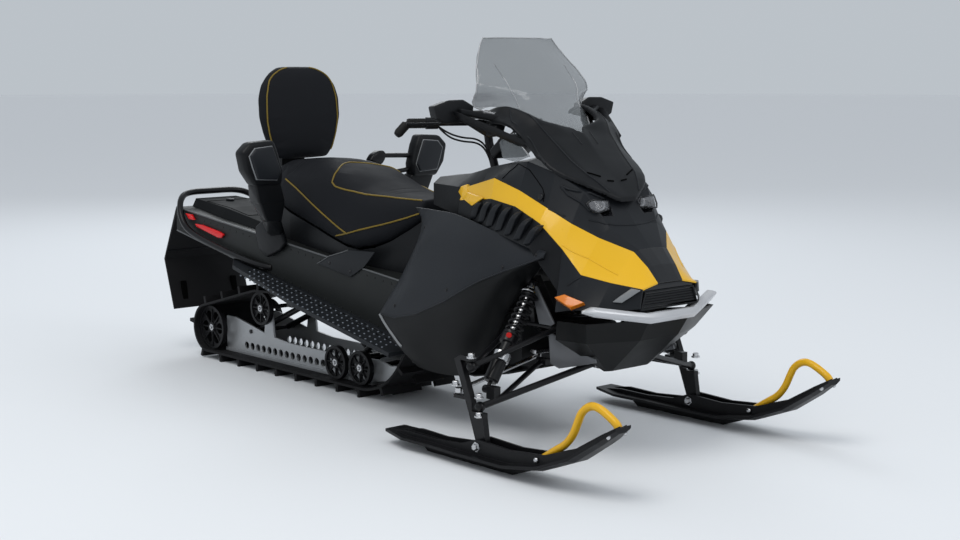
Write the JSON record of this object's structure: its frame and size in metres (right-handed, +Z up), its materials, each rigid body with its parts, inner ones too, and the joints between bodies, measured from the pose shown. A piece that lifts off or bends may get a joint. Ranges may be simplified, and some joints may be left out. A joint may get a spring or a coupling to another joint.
{
  "type": "snowmobile",
  "caption": "Two-up touring snowmobile with steered skis, a rubber track on a slide-rail skid, a smoke windshield, padded seat and passenger backrest.",
  "frame": {"origin": "on the floor, in the centre plane, halfway along the overall length", "axes": "+X towards the front, +Y to the rider's left, +Z up"},
  "size_m": [3.224, 1.217, 1.428],
  "materials": {
    "black_gloss": "moulded, satin gloss",
    "yellow_gloss": "moulded, glossy",
    "black_plastic": "moulded, fine grain",
    "silver_plastic": "painted, satin",
    "smoke_screen": "clear smoke tint",
    "clear_lens": "clear",
    "red_lens": "clear red",
    "dark_metal": "satin coating",
    "black_metal": "gloss powder coat",
    "yellow_metal": "gloss powder coat",
    "steel": "zinc plated",
    "aluminium": "cast, matt",
    "rubber": "moulded",
    "seat_vinyl": "embossed vinyl"
  },
  "bodies": {
    "chassis": {"backrest": "seat_vinyl", "backrest_bracket": "black_metal", "belly_pan": "black_plastic", "bulkhead": "aluminium", "console": "black_plastic", "cowl": "black_gloss", "deck": "black_plastic", "drive_axle": "steel", "engine": "aluminium", "engine_tray": "black_plastic", "front_bumper": "silver_plastic", "front_shocks": "steel", "front_springs": "black_metal", "grille": "black_plastic", "hand_guards": "black_plastic", "headlamps": "clear_lens", "hood_panels": "yellow_gloss", "idler_wheels": "black_plastic", "lower_arms": "black_metal", "mirrors": "black_plastic", "nose_cover": "black_gloss", "nose_sides": "black_gloss", "rear_bar": "black_metal", "running_boards": "dark_metal", "seat": "seat_vinyl", "seat_base": "black_plastic", "side_panels": "black_plastic", "side_vents": "black_plastic", "skid_arms": "black_metal", "skid_shock": "steel", "slide_rails": "aluminium", "snow_flap": "rubber", "tail_lamps": "red_lens", "track": "rubber", "tunnel": "dark_metal", "upper_arms": "black_metal", "windshield": "smoke_screen", "windshield_base": "black_gloss"},
    "handlebar_assembly": {"steering_post": "black_metal", "handlebar": "black_metal", "bar_controls": "rubber"},
    "steering_link": {"tie_rods": "steel", "centre_link": "steel"},
    "right_spindle": {"spindle_right": "aluminium"},
    "left_spindle": {"spindle_left": "aluminium"},
    "right_ski": {"ski_right": "black_plastic", "ski_loop_right": "yellow_metal"},
    "left_ski": {"ski_left": "black_plastic", "ski_loop_left": "yellow_metal"}
  },
  "joints": [
    {"name": "steer", "type": "hinge", "parent": "chassis", "child": "handlebar_assembly", "pos_m": [0.414, 0, 1.04], "axis": [-0.342, 0, 0.9397], "range_deg": [-30, 30]},
    {"name": "link_slide", "type": "slide", "parent": "chassis", "child": "steering_link", "axis": [0, 1, 0], "range_m": [-0.045, 0.045]},
    {"name": "right_spindle_turn", "type": "hinge", "parent": "chassis", "child": "right_spindle", "pos_m": [0.97, -0.5385, 0.172], "axis": [-0.3006, 0, 0.9537], "range_deg": [-26, 26]},
    {"name": "left_spindle_turn", "type": "hinge", "parent": "chassis", "child": "left_spindle", "pos_m": [0.97, 0.5385, 0.172], "axis": [-0.3006, 0, 0.9537], "range_deg": [-26, 26]},
    {"name": "right_ski_pitch", "type": "hinge", "parent": "right_spindle", "child": "right_ski", "pos_m": [0.98, -0.5385, 0.07], "axis": [0, 1, 0], "range_deg": [-10, 12]},
    {"name": "left_ski_pitch", "type": "hinge", "parent": "left_spindle", "child": "left_ski", "pos_m": [0.98, 0.5385, 0.07], "axis": [0, 1, 0], "range_deg": [-10, 12]}
  ],
  "couplings": [
    {"joint": "right_spindle_turn", "follows": "steer", "ratio": 0.85},
    {"joint": "left_spindle_turn", "follows": "steer", "ratio": 0.85},
    {"joint": "link_slide", "follows": "steer", "m_per_rad": -0.081}
  ]
}
